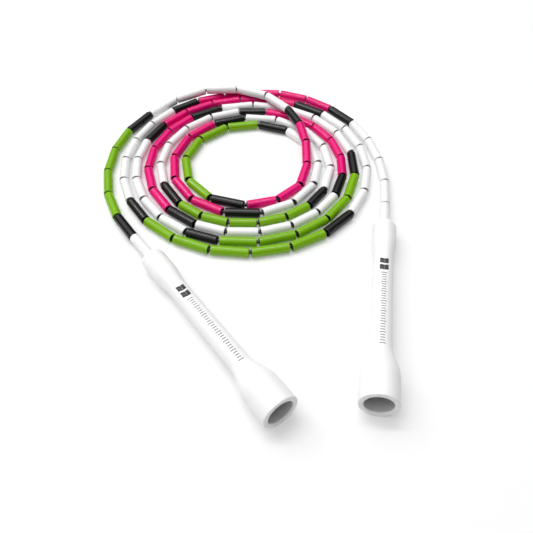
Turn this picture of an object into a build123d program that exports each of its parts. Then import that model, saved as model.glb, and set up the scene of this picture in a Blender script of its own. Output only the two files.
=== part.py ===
"""Beaded jump rope: two spinning handles on one cord threaded with short beads, laid down in a coil.

Millimetres, +Z up. The floor is z = 0 and the origin is the middle of the two handles on the floor.
The left handle is the one on -X. The coil lies on the far side of the handles, towards +Y.
"""

import os
from math import atan, cos, floor, pi, radians, sin, sqrt, tan

from build123d import *

# Beads
BEAD_DIAMETER = 7.0
BEAD_BORE = 4.9
BEAD_ROUNDING = 0.35

# The colour blocks from the left handle to the right one: colour, number of beads, length of each bead.
# The beads were cut from long tube, so their length differs a little from block to block.
COLOUR_BLOCKS = [
    ("white", 1, 25.5),
    ("green", 4, 25.0),
    ("white", 5, 25.5),
    ("pink", 5, 21.0),
    ("green", 5, 24.0),
    ("white", 5, 23.0),
    ("pink", 5, 24.7),
    ("white", 5, 24.6),
    ("green", 5, 18.7),
    ("white", 5, 23.0),
    ("pink", 5, 21.0),
    ("white", 5, 21.2),
    ("pink", 5, 23.4),
    ("white", 5, 26.0),
    ("green", 5, 25.2),
    ("white", 5, 22.3),
    ("pink", 5, 23.1),
    ("white", 5, 25.1),
    ("green", 5, 25.7),
    ("white", 5, 23.1),
    ("pink", 5, 23.1),
    ("white", 5, 24.8),
]

# The runs of beads in order: one black bead, as long as those after it, leads each block but the first.
BEAD_RUNS = [COLOUR_BLOCKS[0]]
for block in COLOUR_BLOCKS[1:]:
    BEAD_RUNS += [("black", 1, block[2]), block]
BEAD_LENGTHS = [length for _, count, length in BEAD_RUNS for _ in range(count)]

# Cord
CORD_DIAMETER = 2.8
CORD_OUTWARD_SHARE = 0.06
CORD_SAG_AT_NECK = 0.1
CORD_TAIL = 2.0

# Handle. Distances run along its axis from the neck face, where the rope enters, to the open mouth.
HANDLE_LENGTH = 140.0
NECK_FACE_RADIUS = 4.6
HEAD_RADIUS = 8.1
HEAD_START = 4.5
HEAD_END = 17.0
GRIP_START = 36.0
GRIP_START_RADIUS = 6.2
GRIP_END = 102.0
GRIP_END_RADIUS = 6.5
MOUTH_RADIUS = 11.25
MOUTH_START = 123.0
RIM_ROUNDING = 0.8
SOCKET_RADIUS = 3.8
SOCKET_DEPTH = 5.0
CORD_HOLE_RADIUS = 1.9
WALL_END = 9.0
CHAMBER_RADIUS = 4.5
CHAMBER_END = 100.0
BORE_RADIUS = 8.1
BORE_START = 118.0

# How far the end beads reach into the sockets
END_BEAD_DEPTH = 1.2

# Stop washer and knot inside each handle
WASHER_RADIUS = 4.2
WASHER_HOLE_RADIUS = 1.7
WASHER_THICKNESS = 1.2
STOP_GAP = 0.1
KNOT_RADIUS = 3.8
KNOT_LENGTH = 6.5
KNOT_HOLE_RADIUS = 1.6
KNOT_ROUNDING = 1.8

# Each handle lies on its head and on the start of its mouth, so its axis rises towards the mouth.
HANDLE_TILT = atan((MOUTH_RADIUS - HEAD_RADIUS) / (MOUTH_START - HEAD_START))
NECK_HEIGHT = HEAD_RADIUS * cos(HANDLE_TILT) - HEAD_START * sin(HANDLE_TILT)

# Where each neck is on the floor, and the way its handle points, in degrees from +X
LEFT_NECK = (-79.3, 44.6)
LEFT_HEADING = -53.75
RIGHT_NECK = (76.6, 74.1)
RIGHT_HEADING = -99.0

# The rope's route from the left handle: round the far left, then up and over the coil to its inside
LEFT_LEAD = [
    (-93.5, 64.3, 5.0),
    (-108.2, 84.0, 3.5),
    (-118.6, 105.0, 3.5),
    (-124.6, 129.0, 3.5),
    (-125.6, 154.0, 3.5),
    (-120.6, 180.0, 3.5),
    (-110.1, 203.0, 3.5),
    (-93.6, 221.0, 3.7),
    (-74.1, 235.5, 8.8),
    (-48.6, 240.5, 11.4),
    (-22.6, 238.0, 11.6),
    (-1.6, 227.0, 11.5),
    (13.4, 208.0, 11.5),
    (23.9, 183.0, 12.0),
    (27.9, 158.0, 9.8),
    (26.4, 134.0, 3.8),
    (22.9, 122.0, 3.5),
]

# The coil winds outwards, clockwise seen from above. Its angles are degrees clockwise from +X, and
# its innermost turn has a radius of its own every 30 degrees, because it was laid down by hand.
COIL_CENTRE = (-18.3, 146.1)
INNER_RADII = [45.0, 46.5, 47.5, 48.0, 48.5, 48.5, 49.0, 49.5, 50.5, 51.5, 53.0, 54.0]
INNER_RADIUS_STEP = 30
TURN_SPACING = 9.25
COIL_START = 45
COIL_END = 2050
COIL_STEP = 5

# The rope's route off the coil, round the far right and on to the right handle
RIGHT_LEAD = [
    (-12.6, 245.0, 3.5),
    (8.4, 243.5, 3.5),
    (31.4, 234.5, 3.5),
    (51.4, 219.0, 3.5),
    (67.4, 199.5, 3.5),
    (77.9, 175.5, 3.5),
    (83.4, 151.0, 3.5),
    (84.4, 123.5, 3.5),
    (80.7, 97.7, 4.2),
]


def handle_direction(heading):
    """Return the unit vector from a handle's neck to its mouth."""
    level = cos(HANDLE_TILT)
    return Vector(level * cos(radians(heading)), level * sin(radians(heading)), sin(HANDLE_TILT))


def handle_point(neck, heading, distance):
    """Return the point of a handle's axis at a distance from its neck face, negative outside it."""
    return Vector(neck[0], neck[1], NECK_HEIGHT) + handle_direction(heading) * distance


def coil_radius(angle):
    """Return the coil's radius at a clockwise angle from +X, over all its turns."""
    turn = floor(angle / 360)
    place = (angle - 360 * turn) / INNER_RADIUS_STEP
    before = int(place)
    radii = INNER_RADII + [INNER_RADII[0] + TURN_SPACING]
    inner = radii[before] + (radii[before + 1] - radii[before]) * (place - before)
    return inner + turn * TURN_SPACING


def coil_points():
    """Return the coil's centre line as closely spaced points."""
    points = []
    for angle in range(COIL_START, COIL_END + 1, COIL_STEP):
        radius = coil_radius(angle)
        x = COIL_CENTRE[0] + radius * cos(radians(angle))
        y = COIL_CENTRE[1] - radius * sin(radians(angle))
        points.append(Vector(x, y, BEAD_DIAMETER / 2))
    return points


def rope_guide():
    """Return the line that the beads follow, from inside the left neck to inside the right one."""
    guide = [handle_point(LEFT_NECK, LEFT_HEADING, END_BEAD_DEPTH)]
    guide += [Vector(*point) for point in LEFT_LEAD]
    guide += coil_points()
    guide += [Vector(*point) for point in RIGHT_LEAD]
    guide.append(handle_point(RIGHT_NECK, RIGHT_HEADING, END_BEAD_DEPTH))
    return guide


def point_ahead(guide, leg, position, reach):
    """Return the next point of the guide at a straight distance from a position, and its leg.

    Past the end of the guide the last leg simply runs on.
    """
    while True:
        start = guide[leg]
        along = guide[leg + 1] - start
        offset = start - position
        a = along.dot(along)
        b = along.dot(offset)
        inside = b * b - a * (offset.dot(offset) - reach * reach)
        if inside >= 0:
            share = (sqrt(inside) - b) / a
            if share >= 0 and (share <= 1 or leg == len(guide) - 2):
                return start + along * share, leg
        leg += 1


def thread_beads(guide, clearance):
    """Return the joints between beads laid along the guide, and the gap at each joint.

    Neighbouring beads touch at the inside of a bend but for the clearance, so the gap on the
    centre line grows with the turn. The gaps and the joints settle together in a few rounds.
    """
    count = len(BEAD_LENGTHS)
    gaps = [clearance] * (count + 1)
    for _ in range(5):
        joints = [guide[0]]
        leg = 0
        for number in range(count):
            reach = BEAD_LENGTHS[number] + (gaps[number] + gaps[number + 1]) / 2
            joint, leg = point_ahead(guide, leg, joints[-1], reach)
            joints.append(joint)
        for number in range(1, count):
            before = joints[number] - joints[number - 1]
            after = joints[number + 1] - joints[number]
            turn = radians(before.get_angle(after))
            gaps[number] = clearance + BEAD_DIAMETER * tan(turn / 2)
    return joints, gaps


def fit_beads(guide):
    """Return the joints and gaps for the clearance that fills the guide from end to end."""
    low = 0.0
    high = 1.0
    last_leg = guide[-1] - guide[-2]
    for _ in range(25):
        clearance = (low + high) / 2
        joints, gaps = thread_beads(guide, clearance)
        if (joints[-1] - guide[-1]).dot(last_leg) > 0:
            high = clearance
        else:
            low = clearance
    print(f"bead clearance {clearance:.3f} mm")
    return joints, gaps


def bead_starts(joints, gaps):
    """Return each bead's start and direction, each bead centred between its two joints."""
    starts = []
    for number in range(len(joints) - 1):
        direction = (joints[number + 1] - joints[number]).normalized()
        starts.append((joints[number] + direction * (gaps[number] / 2), direction))
    return starts


def bead_run(label, starts, length):
    """Export one run of hollow beads of the same colour and length."""
    with BuildPart() as run:
        for start, direction in starts:
            with BuildSketch(Plane(origin=start, z_dir=direction)):
                Circle(BEAD_DIAMETER / 2)
                Circle(BEAD_BORE / 2, mode=Mode.SUBTRACT)
            extrude(amount=length)
            rims = run.edges(Select.LAST).filter_by(GeomType.CIRCLE).sort_by(SortBy.RADIUS)[-2:]
            fillet(rims, BEAD_ROUNDING)
    run.part.label = label
    export_step(run.part, f"parts/{label}.step")


def handle(label, neck, heading):
    """Export a handle: one moulding with a socket for the first bead, a cord hole and a chamber."""
    direction = handle_direction(heading)
    face_centre = handle_point(neck, heading, 0)
    side = direction.cross(Vector(0, 0, 1)).normalized()
    with BuildPart() as body:
        with BuildSketch(Plane(origin=face_centre, x_dir=direction, z_dir=side)):
            with BuildLine():
                Line((0, SOCKET_RADIUS), (0, NECK_FACE_RADIUS))
                Spline((0, NECK_FACE_RADIUS), (HEAD_START, HEAD_RADIUS), tangents=((0, 1), (1, 0)))
                Line((HEAD_START, HEAD_RADIUS), (HEAD_END, HEAD_RADIUS))
                Spline((HEAD_END, HEAD_RADIUS), (GRIP_START, GRIP_START_RADIUS), tangents=((1, 0), (1, 0)))
                Line((GRIP_START, GRIP_START_RADIUS), (GRIP_END, GRIP_END_RADIUS))
                Spline((GRIP_END, GRIP_END_RADIUS), (MOUTH_START, MOUTH_RADIUS), tangents=((1, 0), (1, 0)))
                Polyline(
                    (MOUTH_START, MOUTH_RADIUS),
                    (HANDLE_LENGTH, MOUTH_RADIUS),
                    (HANDLE_LENGTH, BORE_RADIUS),
                    (BORE_START, BORE_RADIUS),
                )
                Spline(
                    (BORE_START, BORE_RADIUS),
                    (CHAMBER_END, CHAMBER_RADIUS),
                    tangents=((-1, 0), (-1, 0)),
                )
                Polyline(
                    (CHAMBER_END, CHAMBER_RADIUS),
                    (WALL_END, CHAMBER_RADIUS),
                    (WALL_END, CORD_HOLE_RADIUS),
                    (SOCKET_DEPTH, CORD_HOLE_RADIUS),
                    (SOCKET_DEPTH, SOCKET_RADIUS),
                    (0, SOCKET_RADIUS),
                )
            make_face()
        revolve(axis=Axis(face_centre, direction))
        rim = body.edges().filter_by(GeomType.CIRCLE).sort_by(Axis(face_centre, direction))[-2:]
        fillet(rim, RIM_ROUNDING)
    body.part.label = label
    export_step(body.part, f"parts/{label}.step")


def stop_washer(label, neck, heading):
    """Export the washer that carries the knot's pull to the handle's inner wall."""
    start = handle_point(neck, heading, WALL_END + STOP_GAP)
    with BuildPart() as washer:
        with BuildSketch(Plane(origin=start, z_dir=handle_direction(heading))):
            Circle(WASHER_RADIUS)
            Circle(WASHER_HOLE_RADIUS, mode=Mode.SUBTRACT)
        extrude(amount=WASHER_THICKNESS)
    washer.part.label = label
    export_step(washer.part, f"parts/{label}.step")


def stop_knot(label, neck, heading):
    """Export the knot behind the washer as the plain barrel that it fills."""
    start = handle_point(neck, heading, WALL_END + 2 * STOP_GAP + WASHER_THICKNESS)
    with BuildPart() as knot:
        with BuildSketch(Plane(origin=start, z_dir=handle_direction(heading))):
            Circle(KNOT_RADIUS)
            Circle(KNOT_HOLE_RADIUS, mode=Mode.SUBTRACT)
        extrude(amount=KNOT_LENGTH)
        rims = knot.edges().filter_by(GeomType.CIRCLE).sort_by(SortBy.RADIUS)[-2:]
        fillet(rims, KNOT_ROUNDING)
    knot.part.label = label
    export_step(knot.part, f"parts/{label}.step")


def cord_end_points(neck, heading):
    """Return the cord's end behind the knot and its point in the neck, where it hangs a little low."""
    end_distance = WALL_END + 2 * STOP_GAP + WASHER_THICKNESS + KNOT_LENGTH + CORD_TAIL
    end = handle_point(neck, heading, end_distance)
    neck_point = handle_point(neck, heading, 1.5) - Vector(0, 0, CORD_SAG_AT_NECK)
    return end, neck_point


def cord_route(joints):
    """Return the cord's control points: pulled a little to the outside of the beads in each bend."""
    left_end, left_neck_point = cord_end_points(LEFT_NECK, LEFT_HEADING)
    right_end, right_neck_point = cord_end_points(RIGHT_NECK, RIGHT_HEADING)
    points = [left_end, left_neck_point]
    for number in range(1, len(joints) - 1):
        bend = joints[number - 1] + joints[number + 1] - joints[number] * 2
        points.append(joints[number] - bend * CORD_OUTWARD_SHARE)
    return points + [right_neck_point, right_end]


def arc_radii(points):
    """Return the largest arc radius that suits each corner of the cord's path."""
    radii = []
    for number in range(1, len(points) - 1):
        before = points[number] - points[number - 1]
        after = points[number + 1] - points[number]
        half_turn = radians(before.get_angle(after)) / 2
        radii.append(0.45 * min(before.length, after.length) / tan(half_turn))
    return radii


def cord_tube(label, points):
    """Export the cord as straight runs joined by tangent arcs."""
    radii = arc_radii(points)
    print(f"cord arc radii {min(radii):.1f} to {max(radii):.1f} mm")
    with BuildPart() as cord:
        with BuildLine() as path:
            FilletPolyline(*points, radius=radii)
        with BuildSketch(Plane(origin=points[0], z_dir=points[1] - points[0])):
            Circle(CORD_DIAMETER / 2)
        sweep()
    length = path.wires()[0].length
    ratio = cord.part.volume / (length * pi * CORD_DIAMETER**2 / 4)
    print(f"cord length {length:.1f} mm, volume over section times length {ratio:.4f}")
    cord.part.label = label
    export_step(cord.part, f"parts/{label}.step")


os.makedirs("parts", exist_ok=True)

bead_joints, bead_gaps = fit_beads(rope_guide())
all_starts = bead_starts(bead_joints, bead_gaps)
first = 0
for number, (colour, count, length) in enumerate(BEAD_RUNS, start=1):
    bead_run(f"{colour}_beads_{number:02d}", all_starts[first : first + count], length)
    first += count

cord_tube("cord", cord_route(bead_joints))

for side_name, neck, heading in [("left", LEFT_NECK, LEFT_HEADING), ("right", RIGHT_NECK, RIGHT_HEADING)]:
    handle(f"{side_name}_handle", neck, heading)
    stop_washer(f"{side_name}_stop_washer", neck, heading)
    stop_knot(f"{side_name}_stop_knot", neck, heading)
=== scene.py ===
"""The beaded jump rope's looks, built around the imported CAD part. Metres, in the part's own frame.

The floor is z = 0. The two handles lie near the viewer (-Y) and the coil behind them (+Y).
"""

import math
import random

import bpy
from mathutils import Matrix, Vector


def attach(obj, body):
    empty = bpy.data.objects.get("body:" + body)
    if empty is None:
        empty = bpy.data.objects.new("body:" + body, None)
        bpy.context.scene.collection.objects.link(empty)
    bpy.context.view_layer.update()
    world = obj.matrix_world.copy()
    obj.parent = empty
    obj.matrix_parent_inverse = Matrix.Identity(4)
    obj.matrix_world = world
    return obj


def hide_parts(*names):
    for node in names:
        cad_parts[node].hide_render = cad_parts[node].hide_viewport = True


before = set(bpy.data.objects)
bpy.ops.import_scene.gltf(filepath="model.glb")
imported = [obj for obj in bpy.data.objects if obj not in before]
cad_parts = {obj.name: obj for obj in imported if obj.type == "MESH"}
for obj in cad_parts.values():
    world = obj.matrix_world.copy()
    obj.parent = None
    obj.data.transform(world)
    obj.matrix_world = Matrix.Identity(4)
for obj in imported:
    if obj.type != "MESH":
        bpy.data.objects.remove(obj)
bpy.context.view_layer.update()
random.seed(11)

MM = 0.001

# ------------------------------------------------------------- dimensions shared with the CAD part

BEAD_DIAMETER = 7.0 * MM
BEAD_BORE = 4.9 * MM
BEAD_ROUNDING = 0.35 * MM
BORE_ROUNDING = 0.2 * MM
RIM_SUPPORT = 0.2 * MM

# The colour blocks from the left handle to the right one, each with its colour, its number of
# beads and the length of each bead
COLOUR_BLOCKS = [
    ("white", 1, 25.5 * MM),
    ("green", 4, 25.0 * MM),
    ("white", 5, 25.5 * MM),
    ("pink", 5, 21.0 * MM),
    ("green", 5, 24.0 * MM),
    ("white", 5, 23.0 * MM),
    ("pink", 5, 24.7 * MM),
    ("white", 5, 24.6 * MM),
    ("green", 5, 18.7 * MM),
    ("white", 5, 23.0 * MM),
    ("pink", 5, 21.0 * MM),
    ("white", 5, 21.2 * MM),
    ("pink", 5, 23.4 * MM),
    ("white", 5, 26.0 * MM),
    ("green", 5, 25.2 * MM),
    ("white", 5, 22.3 * MM),
    ("pink", 5, 23.1 * MM),
    ("white", 5, 25.1 * MM),
    ("green", 5, 25.7 * MM),
    ("white", 5, 23.1 * MM),
    ("pink", 5, 23.1 * MM),
    ("white", 5, 24.8 * MM),
]

# The runs of beads in order. One black bead leads each block but the first, as long as the others.
BEAD_RUNS = [COLOUR_BLOCKS[0]]
for block in COLOUR_BLOCKS[1:]:
    BEAD_RUNS += [("black", 1, block[2]), block]
BEAD_COLOURS = [colour for colour, count, _ in BEAD_RUNS for _ in range(count)]
BEAD_LENGTHS = [length for _, count, length in BEAD_RUNS for _ in range(count)]

CORD_DIAMETER = 2.8 * MM
CORD_OUTWARD_SHARE = 0.06
CORD_SAG_AT_NECK = 0.1 * MM
CORD_SAG_PLACE = 1.5 * MM
CORD_TAIL = 2.0 * MM
CORD_STEPS = 8
TUBE_RESOLUTION = 5

HANDLE_LENGTH = 140.0 * MM
NECK_FACE_RADIUS = 4.6 * MM
HEAD_RADIUS = 8.1 * MM
HEAD_START = 4.5 * MM
HEAD_END = 17.0 * MM
GRIP_START = 36.0 * MM
GRIP_START_RADIUS = 6.2 * MM
GRIP_END = 102.0 * MM
GRIP_END_RADIUS = 6.5 * MM
MOUTH_RADIUS = 11.25 * MM
MOUTH_START = 123.0 * MM
RIM_ROUNDING = 0.8 * MM
SOCKET_RADIUS = 3.8 * MM
SOCKET_DEPTH = 5.0 * MM
CORD_HOLE_RADIUS = 1.9 * MM
WALL_END = 9.0 * MM
CHAMBER_RADIUS = 4.5 * MM
CHAMBER_END = 100.0 * MM
BORE_RADIUS = 8.1 * MM
BORE_START = 118.0 * MM
INNER_ROUNDING = 0.2 * MM
SOCKET_ROUNDING = 0.3 * MM
MOUTH_SUPPORT = 0.4 * MM
RIM_DEPTH = 1.0 * MM
RIB_COUNT = 2
RIB_HEIGHT = 0.04 * MM
RIB_HALF_ANGLE = 0.9

# The sides of the turned meshes
BEAD_SEGMENTS = 36
HANDLE_SEGMENTS = 96

# How far the end beads reach into the sockets
END_BEAD_DEPTH = 1.2 * MM

WASHER_THICKNESS = 1.2 * MM
STOP_GAP = 0.1 * MM
KNOT_RADIUS = 3.8 * MM
KNOT_LENGTH = 6.5 * MM
KNOT_STRAND_RADIUS = 1.2 * MM
KNOT_TURNS = 1.7
KNOT_STEPS = 34

HANDLE_TILT = math.atan((MOUTH_RADIUS - HEAD_RADIUS) / (MOUTH_START - HEAD_START))
NECK_HEIGHT = HEAD_RADIUS * math.cos(HANDLE_TILT) - HEAD_START * math.sin(HANDLE_TILT)

LEFT_NECK = (-79.3 * MM, 44.6 * MM)
LEFT_HEADING = -53.75
RIGHT_NECK = (76.6 * MM, 74.1 * MM)
RIGHT_HEADING = -99.0
HANDLES = [
    ("left", LEFT_NECK, LEFT_HEADING),
    ("right", RIGHT_NECK, RIGHT_HEADING),
]

# The rope's route from the left handle: round the far left, up and over the coil, to its inside
LEFT_LEAD = [
    (-0.0935, 0.0643, 0.0050),
    (-0.1082, 0.0840, 0.0035),
    (-0.1186, 0.1050, 0.0035),
    (-0.1246, 0.1290, 0.0035),
    (-0.1256, 0.1540, 0.0035),
    (-0.1206, 0.1800, 0.0035),
    (-0.1101, 0.2030, 0.0035),
    (-0.0936, 0.2210, 0.0037),
    (-0.0741, 0.2355, 0.0088),
    (-0.0486, 0.2405, 0.0114),
    (-0.0226, 0.2380, 0.0116),
    (-0.0016, 0.2270, 0.0115),
    (0.0134, 0.2080, 0.0115),
    (0.0239, 0.1830, 0.0120),
    (0.0279, 0.1580, 0.0098),
    (0.0264, 0.1340, 0.0038),
    (0.0229, 0.1220, 0.0035),
]

# The coil winds outwards, clockwise seen from above. Its angles are degrees clockwise from +X, and
# its innermost turn has a radius of its own every 30 degrees, because it was laid down by hand.
COIL_CENTRE = (-0.0183, 0.1461)
INNER_RADII = [
    0.0450, 0.0465, 0.0475, 0.0480, 0.0485, 0.0485,
    0.0490, 0.0495, 0.0505, 0.0515, 0.0530, 0.0540,
]
INNER_RADIUS_STEP = 30
TURN_SPACING = 0.00925
COIL_START = 45
COIL_END = 2050
COIL_STEP = 5

# The rope's route off the coil, round the far right and on to the right handle
RIGHT_LEAD = [
    (-0.0126, 0.2450, 0.0035),
    (0.0084, 0.2435, 0.0035),
    (0.0314, 0.2345, 0.0035),
    (0.0514, 0.2190, 0.0035),
    (0.0674, 0.1995, 0.0035),
    (0.0779, 0.1755, 0.0035),
    (0.0834, 0.1510, 0.0035),
    (0.0844, 0.1235, 0.0035),
    (0.0807, 0.0977, 0.0042),
]

# ---------------------------------------------------------------- the rope's route


def handle_direction(heading):
    """Return the unit vector from a handle's neck to its mouth."""
    level = math.cos(HANDLE_TILT)
    turn = math.radians(heading)
    return Vector((level * math.cos(turn), level * math.sin(turn), math.sin(HANDLE_TILT)))


def handle_point(neck, heading, distance):
    """Return the point of a handle's axis at a distance from its neck face."""
    return Vector((neck[0], neck[1], NECK_HEIGHT)) + handle_direction(heading) * distance


def coil_radius(angle):
    """Return the coil's radius at a clockwise angle from +X, over all its turns."""
    turn = math.floor(angle / 360)
    place = (angle - 360 * turn) / INNER_RADIUS_STEP
    before = int(place)
    radii = INNER_RADII + [INNER_RADII[0] + TURN_SPACING]
    inner = radii[before] + (radii[before + 1] - radii[before]) * (place - before)
    return inner + turn * TURN_SPACING


def coil_points():
    """Return the coil's centre line as closely spaced points."""
    points = []
    for angle in range(COIL_START, COIL_END + 1, COIL_STEP):
        radius = coil_radius(angle)
        x = COIL_CENTRE[0] + radius * math.cos(math.radians(angle))
        y = COIL_CENTRE[1] - radius * math.sin(math.radians(angle))
        points.append(Vector((x, y, BEAD_DIAMETER / 2)))
    return points


def rope_guide():
    """Return the line that the beads follow, from inside the left neck to inside the right one."""
    guide = [handle_point(LEFT_NECK, LEFT_HEADING, END_BEAD_DEPTH)]
    guide += [Vector(point) for point in LEFT_LEAD]
    guide += coil_points()
    guide += [Vector(point) for point in RIGHT_LEAD]
    guide.append(handle_point(RIGHT_NECK, RIGHT_HEADING, END_BEAD_DEPTH))
    return guide


# How often the beads are laid anew with better gaps, how often the search for the play between
# them is halved, and the most play it looks for
GAP_ROUNDS = 5
FIT_ROUNDS = 25
MOST_CLEARANCE = 1.0 * MM


def point_ahead(guide, leg, position, reach):
    """Return the next point of the guide at a straight distance from a position, and its leg."""
    while True:
        start = guide[leg]
        along = guide[leg + 1] - start
        offset = start - position
        a = along.dot(along)
        b = along.dot(offset)
        inside = b * b - a * (offset.dot(offset) - reach * reach)
        if inside >= 0:
            share = (math.sqrt(inside) - b) / a
            if share >= 0 and (share <= 1 or leg == len(guide) - 2):
                return start + along * share, leg
        leg += 1


def thread_beads(guide, clearance):
    """Return the joints between beads laid along the guide, and the gap at each joint."""
    count = len(BEAD_LENGTHS)
    gaps = [clearance] * (count + 1)
    for _ in range(GAP_ROUNDS):
        joints = [guide[0]]
        leg = 0
        for number in range(count):
            reach = BEAD_LENGTHS[number] + (gaps[number] + gaps[number + 1]) / 2
            joint, leg = point_ahead(guide, leg, joints[-1], reach)
            joints.append(joint)
        for number in range(1, count):
            before = joints[number] - joints[number - 1]
            after = joints[number + 1] - joints[number]
            gaps[number] = clearance + BEAD_DIAMETER * math.tan(before.angle(after) / 2)
    return joints, gaps


def fit_beads(guide):
    """Return the joints and gaps for the clearance that fills the guide from end to end."""
    low = 0.0
    high = MOST_CLEARANCE
    last_leg = guide[-1] - guide[-2]
    for _ in range(FIT_ROUNDS):
        clearance = (low + high) / 2
        joints, gaps = thread_beads(guide, clearance)
        if (joints[-1] - guide[-1]).dot(last_leg) > 0:
            high = clearance
        else:
            low = clearance
    return joints, gaps


def cord_end_points(neck, heading):
    """Return the cord's end behind the knot, and its point in the neck, where it sags a little."""
    end_distance = WALL_END + 2 * STOP_GAP + WASHER_THICKNESS + KNOT_LENGTH + CORD_TAIL
    end = handle_point(neck, heading, end_distance)
    neck_point = handle_point(neck, heading, CORD_SAG_PLACE) - Vector((0, 0, CORD_SAG_AT_NECK))
    return end, neck_point


def cord_route(joints):
    """Return the cord's control points, pulled a little to the outside of each bend."""
    left_end, left_neck_point = cord_end_points(LEFT_NECK, LEFT_HEADING)
    right_end, right_neck_point = cord_end_points(RIGHT_NECK, RIGHT_HEADING)
    points = [left_end, left_neck_point]
    for number in range(1, len(joints) - 1):
        bend = joints[number - 1] + joints[number + 1] - joints[number] * 2
        points.append(joints[number] - bend * CORD_OUTWARD_SHARE)
    return points + [right_neck_point, right_end]


# ---------------------------------------------------------------- materials


def linear(red, green, blue):
    """Return the linear colour of display values from 0 to 255."""
    channels = []
    for value in (red, green, blue):
        share = value / 255
        channels.append(share / 12.92 if share <= 0.04045 else ((share + 0.055) / 1.055) ** 2.4)
    return (*channels, 1.0)


class Nodes:
    """A material's node tree with short calls to add and join nodes."""

    def __init__(self, name):
        self.material = bpy.data.materials.new(name)
        self.material.use_nodes = True
        self.tree = self.material.node_tree
        self.shader = self.tree.nodes["Principled BSDF"]

    def add(self, kind, **settings):
        """Add a node and set its properties."""
        node = self.tree.nodes.new("ShaderNode" + kind)
        for key, value in settings.items():
            setattr(node, key, value)
        return node

    def join(self, source, target):
        """Link an output socket to an input socket."""
        self.tree.links.new(source, target)

    def math(self, operation, first, second):
        """Add a math node and return its result. Each input is a socket or a number."""
        node = self.add("Math", operation=operation)
        for socket, value in zip(node.inputs, (first, second)):
            if isinstance(value, (int, float)):
                socket.default_value = value
            else:
                self.join(value, socket)
        return node.outputs[0]

    def mapped(self, source, scale):
        """Return coordinates scaled along each axis."""
        node = self.add("Mapping")
        node.inputs["Scale"].default_value = scale
        self.join(source, node.inputs["Vector"])
        return node.outputs["Vector"]

    def noise(self, coordinates, scale, detail=2.0, roughness=0.5):
        """Return the value of a noise texture on the coordinates."""
        node = self.add("TexNoise")
        node.inputs["Scale"].default_value = scale
        node.inputs["Detail"].default_value = detail
        node.inputs["Roughness"].default_value = roughness
        self.join(coordinates, node.inputs["Vector"])
        return node.outputs["Fac"]

    def ramp(self, value, low, high, from_value=0.0, to_value=1.0):
        """Return the value moved from one range to another and held there."""
        node = self.add("MapRange")
        node.inputs["From Min"].default_value = low
        node.inputs["From Max"].default_value = high
        node.inputs["To Min"].default_value = from_value
        node.inputs["To Max"].default_value = to_value
        self.join(value, node.inputs["Value"])
        return node.outputs["Result"]

    def mix(self, share, first, second):
        """Return a mix of two colours. Each is a socket or a fixed colour."""
        node = self.add("Mix", data_type="RGBA")
        self.join(share, node.inputs[0])
        for socket, value in ((node.inputs[6], first), (node.inputs[7], second)):
            if isinstance(value, tuple):
                socket.default_value = value
            else:
                self.join(value, socket)
        return node.outputs[2]

    def bump(self, height, strength, distance):
        """Drive the shader's normal from a height."""
        node = self.add("Bump")
        node.inputs["Strength"].default_value = strength
        node.inputs["Distance"].default_value = distance
        self.join(height, node.inputs["Height"])
        self.join(node.outputs["Normal"], self.shader.inputs["Normal"])


def bead_material(name, colour, dark, light):
    """Return bead plastic: drawn lines along the bead, a tone for each bead and scuffed ends."""
    nodes = Nodes(name)
    uv = nodes.add("UVMap", uv_map="around_along").outputs["UV"]
    tone = nodes.add("Attribute", attribute_name="tone").outputs["Fac"]
    drawn = nodes.noise(nodes.mapped(uv, (34.0, 0.6, 1.0)), 1.0, 3.0, 0.6)
    along = nodes.add("SeparateXYZ")
    nodes.join(uv, along.inputs["Vector"])
    from_middle = nodes.math("ABSOLUTE", nodes.math("SUBTRACT", along.outputs["Y"], 0.5), 0.0)
    near_end = nodes.ramp(from_middle, 0.455, 0.5)
    specks = nodes.noise(nodes.mapped(uv, (40.0, 60.0, 1.0)), 1.0, 4.0, 0.7)
    scuff = nodes.math("MULTIPLY", near_end, nodes.ramp(specks, 0.45, 0.65))
    shade = nodes.mix(nodes.ramp(drawn, 0.35, 0.65, 0.0, 0.5), colour, dark)
    toned = nodes.mix(nodes.math("MULTIPLY", tone, 0.22), shade, dark)
    worn = nodes.mix(nodes.math("MULTIPLY", scuff, 0.3), toned, light)
    nodes.join(worn, nodes.shader.inputs["Base Color"])
    smooth = nodes.ramp(drawn, 0.3, 0.7, 0.1, 0.14)
    sheen = nodes.math("ADD", smooth, nodes.math("MULTIPLY", scuff, 0.22))
    nodes.join(sheen, nodes.shader.inputs["Roughness"])
    nodes.shader.inputs["Specular IOR Level"].default_value = 0.35
    nodes.bump(drawn, 0.04, 0.00004)
    return nodes.material


def handle_material(name, colour, shade_colour, bore_painted_shade, roughness):
    """Return satin moulded plastic with a fine grain, and painted shade: darker grey inside a bore.
    """
    nodes = Nodes(name)
    place = nodes.add("TexCoord").outputs["Object"]
    inside = nodes.add("Attribute", attribute_name="inside").outputs["Fac"]
    cloud = nodes.noise(place, 45.0, 2.0)
    outside = nodes.mix(nodes.ramp(cloud, 0.35, 0.7, 0.0, 0.35), colour, shade_colour)
    # Painted shade: the bore is coloured a darker grey where shade falls inside it
    nodes.join(nodes.mix(inside, outside, bore_painted_shade), nodes.shader.inputs["Base Color"])
    grain = nodes.noise(place, 2600.0, 2.0, 0.6)
    cast = nodes.noise(place, 300.0, 3.0)
    satin = nodes.ramp(cast, 0.3, 0.7, roughness - 0.05, roughness + 0.05)
    nodes.join(satin, nodes.shader.inputs["Roughness"])
    nodes.bump(grain, 0.12, 0.00005)
    return nodes.material


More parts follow.
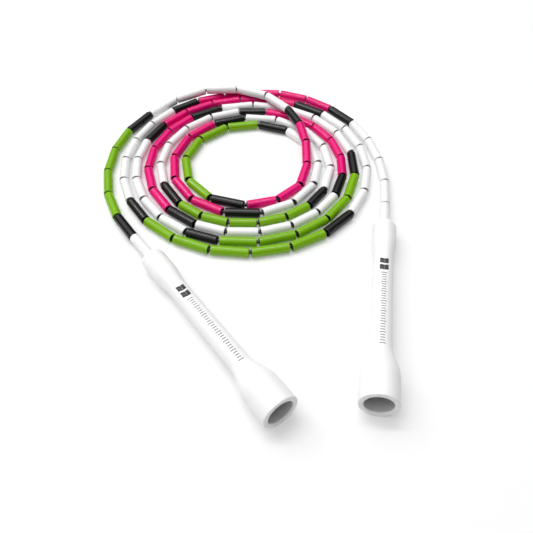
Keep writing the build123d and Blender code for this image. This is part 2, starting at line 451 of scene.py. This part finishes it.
def cord_material(name):
    """Return the cord's black jacket: shiny, with a fine grain."""
    nodes = Nodes(name)
    place = nodes.add("TexCoord").outputs["Object"]
    grain = nodes.noise(place, 900.0, 3.0, 0.6)
    colour = nodes.mix(nodes.ramp(grain, 0.3, 0.7), linear(22, 22, 23), linear(40, 40, 42))
    nodes.join(colour, nodes.shader.inputs["Base Color"])
    nodes.join(nodes.ramp(grain, 0.3, 0.7, 0.2, 0.32), nodes.shader.inputs["Roughness"])
    nodes.bump(grain, 0.2, 0.00005)
    return nodes.material


def ink_material(name, colour, faded):
    """Return printing ink, a little uneven where it has rubbed."""
    nodes = Nodes(name)
    place = nodes.add("TexCoord").outputs["Object"]
    rub = nodes.noise(place, 1400.0, 3.0, 0.65)
    rubbed = nodes.mix(nodes.ramp(rub, 0.45, 0.75, 0.0, 0.6), colour, faded)
    nodes.join(rubbed, nodes.shader.inputs["Base Color"])
    nodes.join(nodes.ramp(rub, 0.3, 0.7, 0.4, 0.55), nodes.shader.inputs["Roughness"])
    return nodes.material


def floor_material(name):
    """Return the plain pale floor."""
    nodes = Nodes(name)
    nodes.shader.inputs["Base Color"].default_value = (0.68, 0.68, 0.68, 1.0)
    nodes.shader.inputs["Roughness"].default_value = 0.9
    nodes.shader.inputs["Specular IOR Level"].default_value = 0.0
    nodes.shader.inputs["Emission Color"].default_value = (1.0, 1.0, 1.0, 1.0)
    nodes.shader.inputs["Emission Strength"].default_value = 0.22
    return nodes.material


# ---------------------------------------------------------------- shapes


def new_object(name, mesh, material):
    """Return a smooth-shaded object in the scene that shows the mesh."""
    mesh.materials.append(material)
    mesh.shade_smooth()
    made = bpy.data.objects.new(name, mesh)
    bpy.context.collection.objects.link(made)
    return made


def axis_matrix(origin, direction):
    """Return the placement with X along a direction and Z pointing up as far as it can."""
    along = direction.normalized()
    side = Vector((0, 0, 1)).cross(along).normalized()
    up = along.cross(side)
    matrix = Matrix((along, side, up)).transposed().to_4x4()
    matrix.translation = origin
    return matrix


def around_axis(distance, radius, turn):
    """Return the point at a distance along X and a radius and turn about it, counted from +Z."""
    return Vector((distance, radius * math.sin(turn), radius * math.cos(turn)))


def rounded_corner(corner_distance, corner_radius, rounding, start_angle, steps=4):
    """Return a quarter circle of profile points for a corner, its start angle in degrees.

    A negative rounding turns the arc round, as a corner of the bore needs it.
    """
    turn = math.radians(start_angle)
    middle = start_angle - 45
    centre_distance = corner_distance - rounding * math.copysign(1, math.cos(math.radians(middle)))
    centre_radius = corner_radius - rounding * math.copysign(1, math.sin(math.radians(middle)))
    points = []
    for step in range(steps + 1):
        angle = turn - math.pi / 2 * step / steps
        distance = centre_distance + rounding * math.cos(angle)
        points.append((distance, centre_radius + rounding * math.sin(angle)))
    return points


def bead_profile(length):
    """Return the closed profile of a bead, with a support ring beside each rounded rim."""
    outer = BEAD_DIAMETER / 2
    bore = BEAD_BORE / 2
    rim = BEAD_ROUNDING + RIM_SUPPORT
    profile = rounded_corner(0, outer, BEAD_ROUNDING, 180)
    profile += [(rim, outer), (length - rim, outer)]
    profile += rounded_corner(length, outer, BEAD_ROUNDING, 90)
    profile += rounded_corner(length, bore, -BORE_ROUNDING, 180)
    profile += [(length - rim, bore), (rim, bore)]
    profile += rounded_corner(0, bore, -BORE_ROUNDING, 90)
    return profile


def ease(share):
    """Return a share from 0 to 1, eased at both ends."""
    return share * share * (3 - 2 * share)


def eased(start, end, steps):
    """Return profile points of a smooth S from one (distance, radius) to another."""
    points = []
    for step in range(steps + 1):
        share = step / steps
        distance = start[0] + (end[0] - start[0]) * share
        points.append((distance, start[1] + (end[1] - start[1]) * ease(share)))
    return points


def shoulder(steps=10):
    """Return profile points of the rounded shoulder from the neck face to the head."""
    points = []
    for step in range(steps + 1):
        angle = math.pi / 2 * step / steps
        distance = HEAD_START * (1 - math.cos(angle))
        radius = NECK_FACE_RADIUS + (HEAD_RADIUS - NECK_FACE_RADIUS) * math.sin(angle)
        points.append((distance, radius))
    return points


def handle_profile():
    """Return the handle's closed profile: the outside from neck to mouth, then the inside back."""
    profile = [(SOCKET_ROUNDING, SOCKET_RADIUS), (0, SOCKET_RADIUS + SOCKET_ROUNDING)]
    profile += shoulder()
    profile += eased((HEAD_END, HEAD_RADIUS), (GRIP_START, GRIP_START_RADIUS), 20)
    profile += eased((GRIP_END, GRIP_END_RADIUS), (MOUTH_START, MOUTH_RADIUS), 24)
    profile += [(HANDLE_LENGTH - RIM_ROUNDING - MOUTH_SUPPORT, MOUTH_RADIUS)]
    profile += rounded_corner(HANDLE_LENGTH, MOUTH_RADIUS, RIM_ROUNDING, 90, 6)
    profile += rounded_corner(HANDLE_LENGTH, BORE_RADIUS, -RIM_ROUNDING, 180, 6)
    profile += [(HANDLE_LENGTH - RIM_ROUNDING - MOUTH_SUPPORT, BORE_RADIUS)]
    profile += eased((BORE_START, BORE_RADIUS), (CHAMBER_END, CHAMBER_RADIUS), 16)
    profile += [
        (WALL_END + INNER_ROUNDING, CHAMBER_RADIUS),
        (WALL_END, CHAMBER_RADIUS - INNER_ROUNDING),
        (WALL_END, CORD_HOLE_RADIUS + INNER_ROUNDING),
        (WALL_END - INNER_ROUNDING, CORD_HOLE_RADIUS),
        (SOCKET_DEPTH + INNER_ROUNDING, CORD_HOLE_RADIUS),
        (SOCKET_DEPTH, CORD_HOLE_RADIUS + INNER_ROUNDING),
        (SOCKET_DEPTH, SOCKET_RADIUS - INNER_ROUNDING),
        (SOCKET_DEPTH - INNER_ROUNDING, SOCKET_RADIUS),
    ]
    return profile


def lathe_rings(segments, ribs):
    """Return the angle of each ring of profile points, and how far a rib lifts it."""
    rings = [(360 * number / segments, 0.0) for number in range(segments)]
    for number in range(ribs):
        middle = 360 * number / ribs + 180 / segments
        rings += [
            (middle - RIB_HALF_ANGLE, 0.0),
            (middle, RIB_HEIGHT),
            (middle + RIB_HALF_ANGLE, 0.0),
        ]
    return sorted(rings)


def lathe_faces(base, ring_count, profile_count):
    """Return the faces that join the rings of one turned shape, its first point numbered base."""
    faces = []
    for ring in range(ring_count):
        next_ring = (ring + 1) % ring_count
        for place in range(profile_count):
            next_place = (place + 1) % profile_count
            corners = (
                (ring, place),
                (ring, next_place),
                (next_ring, next_place),
                (next_ring, place),
            )
            faces.append([base + row * profile_count + column for row, column in corners])
    return faces


def lathe_uvs(rings, profile, length):
    """Return each face corner's share of a turn and of the length, in the order of the faces."""
    uvs = []
    for ring in range(len(rings)):
        next_ring = (ring + 1) % len(rings)
        around = (rings[ring][0] / 360, rings[next_ring][0] / 360 + (next_ring == 0))
        for place in range(len(profile)):
            next_place = (place + 1) % len(profile)
            along = (profile[place][0] / length, profile[next_place][0] / length)
            for u, v in ((0, 0), (0, 1), (1, 1), (1, 0)):
                uvs += (around[u], along[v])
    return uvs


def lathe_mesh(name, pieces, segments, ribs=0):
    """Return a mesh of closed turned shapes, each piece a (profile, placement).

    The UV map "around_along" holds the share of a turn and of the length, "tone" is a random
    number for each piece, and "inside" is 1 in its bore. A rib is a thin moulding line along the
    outside.
    """
    rings = lathe_rings(segments, ribs)
    points = []
    faces = []
    uvs = []
    tones = []
    insides = []
    for profile, placement in pieces:
        length = max(distance for distance, _ in profile)
        outer_count = 1 + max(range(len(profile)), key=lambda place: profile[place][0])
        faces += lathe_faces(len(points), len(rings), len(profile))
        uvs += lathe_uvs(rings, profile, length)
        tone = random.random()
        for angle, lift in rings:
            turn = math.radians(angle)
            for place, (distance, radius) in enumerate(profile):
                outside = place < outer_count
                full = radius + (lift if outside else 0.0)
                points.append(placement @ around_axis(distance, full, turn))
                tones.append(tone)
                insides.append(float(not outside and distance < length - RIM_DEPTH))
    mesh = bpy.data.meshes.new(name)
    mesh.from_pydata(points, [], faces)
    mesh.uv_layers.new(name="around_along").data.foreach_set("uv", uvs)
    mesh.attributes.new("tone", "FLOAT", "POINT").data.foreach_set("value", tones)
    mesh.attributes.new("inside", "FLOAT", "POINT").data.foreach_set("value", insides)
    return mesh


def grip_radius(distance):
    """Return the handle's outer radius along the grip and on the flare behind it."""
    if distance < GRIP_END:
        share = (distance - GRIP_START) / (GRIP_END - GRIP_START)
        return GRIP_START_RADIUS + (GRIP_END_RADIUS - GRIP_START_RADIUS) * share
    share = (distance - GRIP_END) / (MOUTH_START - GRIP_END)
    return GRIP_END_RADIUS + (MOUTH_RADIUS - GRIP_END_RADIUS) * ease(share)


INK_THICKNESS = 0.03 * MM
INK_DEPTH = 0.05 * MM
MARK_STEPS = 10


def mark_section(mark, share):
    """Return the four corners of a mark's section at a share of its width.

    A mark is (width, start, end, slope). It spans the width round the grip, and its start and end
    move towards the mouth by the slope times the distance from the mark's middle.
    """
    width, start, end, slope = mark
    across = width * (share - 0.5)
    first = start + slope * abs(across)
    last = end + slope * abs(across)
    turn = across / grip_radius(start)
    corners = (
        (first, INK_THICKNESS),
        (last, INK_THICKNESS),
        (last, -INK_DEPTH),
        (first, -INK_DEPTH),
    )
    return [
        around_axis(distance, grip_radius(distance) + lift, turn)
        for distance, lift in corners
    ]


def ink_mesh(name, placement, marks):
    """Return printed marks on a grip as thin closed skins."""
    points = []
    faces = []
    for mark in marks:
        base = len(points)
        for step in range(MARK_STEPS + 1):
            points += [placement @ corner for corner in mark_section(mark, step / MARK_STEPS)]
        for step in range(MARK_STEPS):
            row = base + 4 * step
            for side in range(4):
                next_side = (side + 1) % 4
                faces.append([row + side, row + 4 + side, row + 4 + next_side, row + next_side])
        faces.append([base, base + 1, base + 2, base + 3])
        end_row = base + 4 * MARK_STEPS
        faces.append([end_row + 3, end_row + 2, end_row + 1, end_row])
    mesh = bpy.data.meshes.new(name)
    mesh.from_pydata(points, [], faces)
    return mesh


def cord_curve(name, route):
    """Return the cord as one open spline on the route's points."""
    curve = bpy.data.curves.new(name, "CURVE")
    curve.dimensions = "3D"
    curve.resolution_u = CORD_STEPS
    spline = curve.splines.new("NURBS")
    spline.points.add(len(route) - 1)
    for point, place in zip(spline.points, route):
        point.co = (*place, 1.0)
    spline.order_u = 3
    spline.use_endpoint_u = True
    made = bpy.data.objects.new(name, curve)
    bpy.context.collection.objects.link(made)
    return made


def line_points(curve_object):
    """Return the points of a curve's own line, read before it gets its thickness."""
    mesh = bpy.data.meshes.new_from_object(curve_object)
    return [vertex.co.copy() for vertex in mesh.vertices]


def line_place(line, spans, span):
    """Return the point of a line after a number of its spline's equal spans, whole or not."""
    place = span * (len(line) - 1) / spans
    before = min(int(place), len(line) - 2)
    return line[before].lerp(line[before + 1], place - before)


def bead_placements(line, joints, gaps):
    """Return each bead's placement on the cord's line.

    The spline's spans end at the middle of each bead. There the line is at the outside of the bend,
    and at its inside near the bead's ends, so the bead's centre is halfway between. The first and
    last beads reach from the handles' sockets straight to their outer joints. No bead dips into the
    floor.
    """
    last = len(joints) - 2
    spans = len(joints)
    placements = []
    for number in range(last + 1):
        if number in (0, last):
            direction = (joints[number + 1] - joints[number]).normalized()
            start = joints[number] + direction * (gaps[number] / 2)
        else:
            before = line_place(line, spans, number + 0.5)
            middle = line_place(line, spans, number + 1)
            after = line_place(line, spans, number + 1.5)
            direction = (after - before).normalized()
            shift = (gaps[number] - gaps[number + 1]) / 4
            centre = (before + after + middle * 2) / 4
            start = centre + direction * (shift - BEAD_LENGTHS[number] / 2)
        level = math.hypot(direction.x, direction.y)
        lowest = start.z + min(direction.z, 0) * BEAD_LENGTHS[number] - BEAD_DIAMETER / 2 * level
        start.z -= min(lowest, 0)
        placements.append(axis_matrix(start, direction))
    return placements


def knot_object(name, neck, heading, material):
    """Return a stop knot: the cord's end wound round the cord, pulled tight against the washer."""
    strand = KNOT_STRAND_RADIUS
    start = WALL_END + 2 * STOP_GAP + WASHER_THICKNESS + strand
    placement = axis_matrix(handle_point(neck, heading, start), handle_direction(heading))
    route = []
    for step in range(KNOT_STEPS + 1):
        share = step / KNOT_STEPS
        turn = 2 * math.pi * KNOT_TURNS * share
        distance = (KNOT_LENGTH - 2 * strand) * share
        route.append(placement @ around_axis(distance, KNOT_RADIUS - strand, turn))
    curve = cord_curve(name + "_line", route)
    curve.data.bevel_depth = strand
    curve.data.bevel_resolution = TUBE_RESOLUTION
    curve.data.use_fill_caps = True
    mesh = bpy.data.meshes.new_from_object(curve)
    bpy.data.objects.remove(curve)
    return new_object(name, mesh, material)


# ---------------------------------------------------------------- the rope

# Each bead plastic's colour, its darker streaks and its lighter scuffs
BEAD_PLASTICS = {
    "white": (linear(244, 244, 244), linear(226, 226, 227), linear(250, 250, 250)),
    "green": (linear(126, 180, 8), linear(102, 154, 4), linear(180, 212, 120)),
    "pink": (linear(230, 6, 118), linear(204, 2, 98), linear(244, 140, 182)),
    "black": (linear(24, 24, 24), linear(16, 16, 16), linear(92, 92, 92)),
}
black_cord_material = cord_material("cord_jacket")

joints, gaps = fit_beads(rope_guide())
route = cord_route(joints)
cord = cord_curve("cord_line", route)
line = line_points(cord)
cord.data.bevel_depth = CORD_DIAMETER / 2
cord.data.bevel_resolution = TUBE_RESOLUTION
cord.data.use_fill_caps = True
cord.data.materials.append(black_cord_material)
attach(cord, "rope")
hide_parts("cord")

placements = bead_placements(line, joints, gaps)
for colour, shades in BEAD_PLASTICS.items():
    pieces = [
        (bead_profile(length), placement)
        for bead, length, placement in zip(BEAD_COLOURS, BEAD_LENGTHS, placements)
        if bead == colour
    ]
    mesh = lathe_mesh(f"{colour}_beads", pieces, BEAD_SEGMENTS)
    material = bead_material(f"{colour}_bead_plastic", *shades)
    beads = new_object(f"{colour}_beads", mesh, material)
    runs = [
        f"{run}_beads_{number:02d}"
        for number, (run, _, _) in enumerate(BEAD_RUNS, start=1)
        if run == colour
    ]
    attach(beads, "rope")
    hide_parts(*runs)

for side, neck, heading in HANDLES:
    knot = knot_object(f"{side}_knot", neck, heading, black_cord_material)
    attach(knot, "rope")
    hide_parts(f"{side}_stop_knot")

washer_material = handle_material(
    "washer_nylon", linear(214, 212, 206), linear(196, 194, 188), linear(196, 194, 188), 0.45
)
washers = [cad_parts[f"{side}_stop_washer"] for side in ("left", "right")]
for washer in washers:
    for slot in washer.material_slots:
        slot.material = washer_material

# ---------------------------------------------------------------- the handles

# The third colour is painted shade, a darker grey for the inside of the handle's bore
white_handle_material = handle_material(
    "handle_plastic", linear(244, 244, 244), linear(238, 238, 238), linear(202, 202, 202), 0.4
)
dark_ink = ink_material("dark_ink", linear(62, 62, 62), linear(96, 96, 96))
grey_ink = ink_material("grey_ink", linear(100, 100, 100), linear(140, 140, 140))

# Printed marks: two chevrons near the top of the grip, then a row of fine ticks
CHEVRON_WIDTH = 5.6 * MM
CHEVRON_SLOPE = -0.3
CHEVRONS = [
    (CHEVRON_WIDTH, 38.2 * MM, 42.4 * MM, CHEVRON_SLOPE),
    (CHEVRON_WIDTH, 43.8 * MM, 48.0 * MM, CHEVRON_SLOPE),
]

TICK_COUNT = 29
TICKS_START = 50.0
TICK_SPACING = 1.92
TICK_THICKNESS = 0.6 * MM
LONG_TICK = 3.6 * MM
SHORT_TICK = 2.7 * MM
LONG_TICK_EVERY = 4
TICKS = []
for number in range(TICK_COUNT):
    tick_start = (TICKS_START + TICK_SPACING * number) * MM
    tick_width = LONG_TICK if number % LONG_TICK_EVERY == 0 else SHORT_TICK
    TICKS.append((tick_width, tick_start, tick_start + TICK_THICKNESS, 0.0))

for side, neck, heading in HANDLES:
    body = f"{side}_handle"
    placement = axis_matrix(handle_point(neck, heading, 0), handle_direction(heading))
    pieces = [(handle_profile(), placement)]
    mesh = lathe_mesh(f"{side}_grip", pieces, HANDLE_SEGMENTS, RIB_COUNT)
    grip = new_object(f"{side}_grip", mesh, white_handle_material)
    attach(grip, body)
    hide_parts(body)
    for kind, ink, marks in (("chevrons", dark_ink, CHEVRONS), ("ticks", grey_ink, TICKS)):
        skin = ink_mesh(f"{side}_{kind}", placement, marks)
        printed = new_object(f"{side}_{kind}", skin, ink)
        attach(printed, body)

# ---------------------------------------------------------------- floor, light and camera

FLOOR_SIDE = 8.0

bpy.ops.mesh.primitive_plane_add(size=FLOOR_SIDE, location=(0, 0, 0))
floor = bpy.context.object
floor.name = "floor"
floor.data.materials.append(floor_material("floor_white"))

scene = bpy.context.scene
scene.view_settings.view_transform = "Standard"

# A dome that is bright overhead and a little to the left, and dark towards the horizon. It has
# faded out where the cosine of the angle to its centre has fallen to the edge value.
DOME_CENTRE = (-0.26, 0.14, 0.955)
DOME_EDGE_COSINE = 0.55
DOME_AT_EDGE = 0.03
DOME_AT_CENTRE = 2.42


def studio_world(name):
    """Return the world whose light is the dome."""
    world = bpy.data.worlds.new(name)
    world.use_nodes = True
    sky = world.node_tree
    direction = sky.nodes.new("ShaderNodeTexCoord")
    nearness = sky.nodes.new("ShaderNodeVectorMath")
    nearness.operation = "DOT_PRODUCT"
    nearness.inputs[1].default_value = DOME_CENTRE
    dome = sky.nodes.new("ShaderNodeMapRange")
    dome.inputs["From Min"].default_value = DOME_EDGE_COSINE
    dome.inputs["From Max"].default_value = 1.0
    dome.inputs["To Min"].default_value = DOME_AT_EDGE
    dome.inputs["To Max"].default_value = DOME_AT_CENTRE
    sky.links.new(direction.outputs["Generated"], nearness.inputs[0])
    sky.links.new(nearness.outputs["Value"], dome.inputs["Value"])
    sky.links.new(dome.outputs["Result"], sky.nodes["Background"].inputs["Strength"])
    sky.nodes["Background"].inputs["Color"].default_value = (1.0, 1.0, 1.0, 1.0)
    return world


def area_light(name, place, target, width, depth, power):
    """Add a rectangular soft box that faces a target."""
    data = bpy.data.lights.new(name, "AREA")
    data.shape = "RECTANGLE"
    data.size = width
    data.size_y = depth
    data.energy = power
    light = bpy.data.objects.new(name, data)
    light.location = place
    light.rotation_euler = (Vector(target) - Vector(place)).to_track_quat("-Z", "Y").to_euler()
    bpy.context.collection.objects.link(light)


scene.world = studio_world("studio")

# Two thin boxes draw the bright lines along the beads: one behind the coil, one far to the left
area_light("strip_box", (-0.33, 0.36, 1.15), (-0.33, 0.12, 0), 1.0, 0.06, 4.2)
area_light("corner_box", (-1.05, 0.7, 1.15), (-0.1, 0.1, 0), 0.75, 0.05, 2.4)

CAMERA_PLACE = (-0.0041, -0.2088, 0.2862)
CAMERA_PITCH = 48.363
CAMERA_LENS = 39.0
CAMERA_SHIFT_UP = -0.0055

camera_data = bpy.data.cameras.new("camera")
camera_data.lens = CAMERA_LENS
camera_data.sensor_width = 36.0
camera_data.shift_y = CAMERA_SHIFT_UP
camera_data.clip_start = 0.01
camera = bpy.data.objects.new("camera", camera_data)
camera.location = CAMERA_PLACE
camera.rotation_euler = (math.radians(90 - CAMERA_PITCH), 0, 0)
bpy.context.collection.objects.link(camera)
scene.camera = camera
